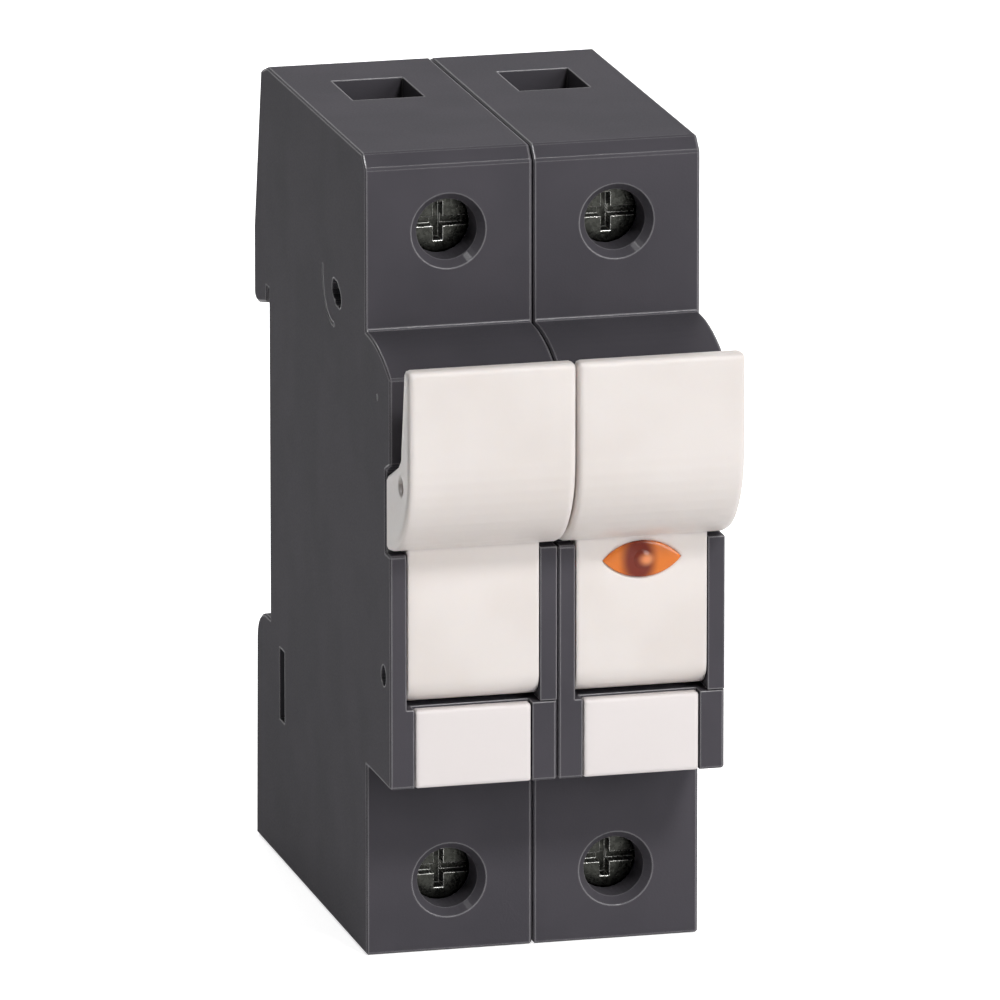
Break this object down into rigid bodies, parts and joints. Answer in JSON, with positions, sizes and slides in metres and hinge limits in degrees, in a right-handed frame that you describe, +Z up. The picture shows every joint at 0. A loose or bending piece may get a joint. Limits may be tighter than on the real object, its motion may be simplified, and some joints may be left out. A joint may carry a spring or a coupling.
{
  "type": "two-pole rail-mounted fuse holder",
  "caption": "Dark grey rail-mounted fuse holder with linked white swing-out carriers, blank marker plates and an amber blown-fuse lamp.",
  "frame": {"origin": "under the middle of the whole part, on its base", "axes": "+X to the right across the poles, +Y from the front to the mounting rail, +Z up"},
  "size_m": [0.0348, 0.0662, 0.0834],
  "materials": {
    "dark_moulding": "fine grain, dark grey moulding",
    "white_moulding": "smooth warm white moulding",
    "marker_plastic": "blank white marker plate",
    "amber_lens": "clear amber lens",
    "zinc_plated_steel": "zinc plated",
    "pin_steel": "plain drawn wire",
    "tinned_copper": "tinned copper strip",
    "nickelled_brass": "nickel plated brass",
    "ceramic": "unglazed ceramic tube",
    "lamp_glass": "neon lamp envelope",
    "resistor_lacquer": "lacquer coat"
  },
  "bodies": {
    "housing": {"neutral_case": "dark_moulding", "neutral_cover": "dark_moulding", "neutral_hinge_pin": "pin_steel", "neutral_marker": "marker_plastic", "neutral_upper_contact": "tinned_copper", "neutral_lower_contact": "tinned_copper", "neutral_latch_spring": "zinc_plated_steel", "phase_case": "dark_moulding", "phase_cover": "dark_moulding", "phase_hinge_pin": "pin_steel", "phase_marker": "marker_plastic", "phase_upper_contact": "tinned_copper", "phase_lower_contact": "tinned_copper", "phase_latch_spring": "zinc_plated_steel", "pole_rivet_upper": "pin_steel", "pole_rivet_lower": "pin_steel", "pole_rivet_rear": "pin_steel"},
    "carriers": {"neutral_carrier": "white_moulding", "phase_carrier": "white_moulding", "handle_tie_pin": "pin_steel", "neutral_link": "nickelled_brass", "fuse_tube": "ceramic", "fuse_lower_cap": "nickelled_brass", "fuse_upper_cap": "nickelled_brass", "indicator_lens": "amber_lens", "indicator_lamp": "lamp_glass", "indicator_resistor": "resistor_lacquer", "indicator_upper_lead": "tinned_copper", "indicator_lower_lead": "tinned_copper"},
    "neutral_upper_screw": {"neutral_upper_screw": "zinc_plated_steel"},
    "neutral_upper_clamp": {"neutral_upper_clamp": "zinc_plated_steel"},
    "neutral_lower_screw": {"neutral_lower_screw": "zinc_plated_steel"},
    "neutral_lower_clamp": {"neutral_lower_clamp": "zinc_plated_steel"},
    "neutral_latch": {"neutral_rail_latch": "dark_moulding"},
    "phase_upper_screw": {"phase_upper_screw": "zinc_plated_steel"},
    "phase_upper_clamp": {"phase_upper_clamp": "zinc_plated_steel"},
    "phase_lower_screw": {"phase_lower_screw": "zinc_plated_steel"},
    "phase_lower_clamp": {"phase_lower_clamp": "zinc_plated_steel"},
    "phase_latch": {"phase_rail_latch": "dark_moulding"}
  },
  "joints": [
    {"name": "carrier_hinge", "type": "hinge", "parent": "housing", "child": "carriers", "pos_m": [0, -0.02249, 0.0314], "axis": [1, 0, 0], "range_deg": [0, 90]},
    {"name": "neutral_upper_screw_turn", "type": "hinge", "parent": "housing", "child": "neutral_upper_screw", "pos_m": [-0.00875, -0.01055, 0.0752], "axis": [0, 1, 0], "range_deg": [0, 3150]},
    {"name": "neutral_upper_clamp_slide", "type": "slide", "parent": "housing", "child": "neutral_upper_clamp", "axis": [0, -1, 0], "range_m": [0, 0.007]},
    {"name": "neutral_lower_screw_turn", "type": "hinge", "parent": "housing", "child": "neutral_lower_screw", "pos_m": [-0.00875, -0.01055, 0.0074], "axis": [0, 1, 0], "range_deg": [0, 3150]},
    {"name": "neutral_lower_clamp_slide", "type": "slide", "parent": "housing", "child": "neutral_lower_clamp", "axis": [0, -1, 0], "range_m": [0, 0.007]},
    {"name": "neutral_latch_slide", "type": "slide", "parent": "housing", "child": "neutral_latch", "axis": [0, 0, -1], "range_m": [0, 0.0022], "stiffness_N_per_m": 1500, "springref_m": -0.001, "deforming": ["neutral_latch_spring"]},
    {"name": "phase_upper_screw_turn", "type": "hinge", "parent": "housing", "child": "phase_upper_screw", "pos_m": [0.00875, -0.01055, 0.0752], "axis": [0, 1, 0], "range_deg": [0, 3150]},
    {"name": "phase_upper_clamp_slide", "type": "slide", "parent": "housing", "child": "phase_upper_clamp", "axis": [0, -1, 0], "range_m": [0, 0.007]},
    {"name": "phase_lower_screw_turn", "type": "hinge", "parent": "housing", "child": "phase_lower_screw", "pos_m": [0.00875, -0.01055, 0.0074], "axis": [0, 1, 0], "range_deg": [0, 3150]},
    {"name": "phase_lower_clamp_slide", "type": "slide", "parent": "housing", "child": "phase_lower_clamp", "axis": [0, -1, 0], "range_m": [0, 0.007]},
    {"name": "phase_latch_slide", "type": "slide", "parent": "housing", "child": "phase_latch", "axis": [0, 0, -1], "range_m": [0, 0.0022], "stiffness_N_per_m": 1500, "springref_m": -0.001, "deforming": ["phase_latch_spring"]}
  ],
  "couplings": [
    {"joint": "neutral_upper_screw_turn", "follows": "neutral_upper_clamp_slide", "rad_per_m": 7854},
    {"joint": "neutral_lower_screw_turn", "follows": "neutral_lower_clamp_slide", "rad_per_m": 7854},
    {"joint": "phase_upper_screw_turn", "follows": "phase_upper_clamp_slide", "rad_per_m": 7854},
    {"joint": "phase_lower_screw_turn", "follows": "phase_lower_clamp_slide", "rad_per_m": 7854}
  ]
}
